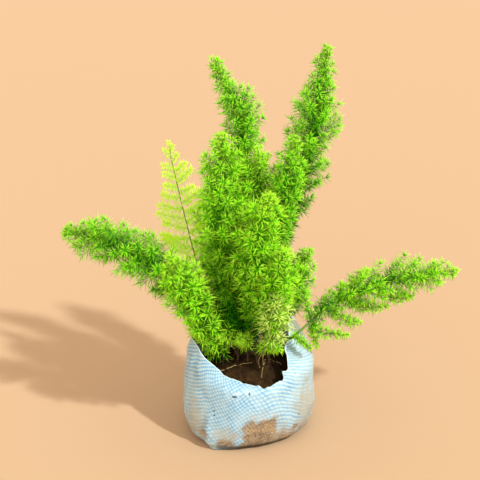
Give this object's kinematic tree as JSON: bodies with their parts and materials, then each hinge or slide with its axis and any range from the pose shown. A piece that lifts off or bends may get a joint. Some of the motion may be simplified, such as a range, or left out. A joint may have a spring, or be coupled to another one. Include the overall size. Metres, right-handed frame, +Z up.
{
  "type": "foxtail fern in a grow bag",
  "caption": "Foxtail fern with bottle-brush plumes of fine green needles, growing in soil in a small checked woven grow bag.",
  "frame": {"origin": "middle of the bag's flat base, on the surface that it stands on", "axes": "+Z up, -Y towards the front where the bag's rim is folded low, +X to the right seen from the front"},
  "size_m": [0.404, 0.1739, 0.3949],
  "materials": {
    "foliage_green": "satin",
    "foliage_young": "satin",
    "woven_bag": "satin",
    "potting_soil": "matte",
    "dry_root": "matte"
  },
  "bodies": {
    "root": {"grow_bag": "woven_bag", "soil": "potting_soil", "surface_root_left": "dry_root", "surface_root_fork": "dry_root", "plume_tall_right": "foliage_green", "plume_tall_left": "foliage_green", "plume_arching_left": "foliage_green", "plume_reaching_right": "foliage_green", "plume_inner_right": "foliage_green", "plume_mid_left": "foliage_green", "plume_mid_right": "foliage_green", "plume_front_centre": "foliage_green", "plume_front_left": "foliage_green", "plume_front_right": "foliage_green", "plume_short_right": "foliage_green", "plume_back_left": "foliage_green", "plume_back_right": "foliage_green", "sprig_low_left": "foliage_green", "shoot_young": "foliage_young", "sprig_yellow": "foliage_young"}
  },
  "joints": []
}
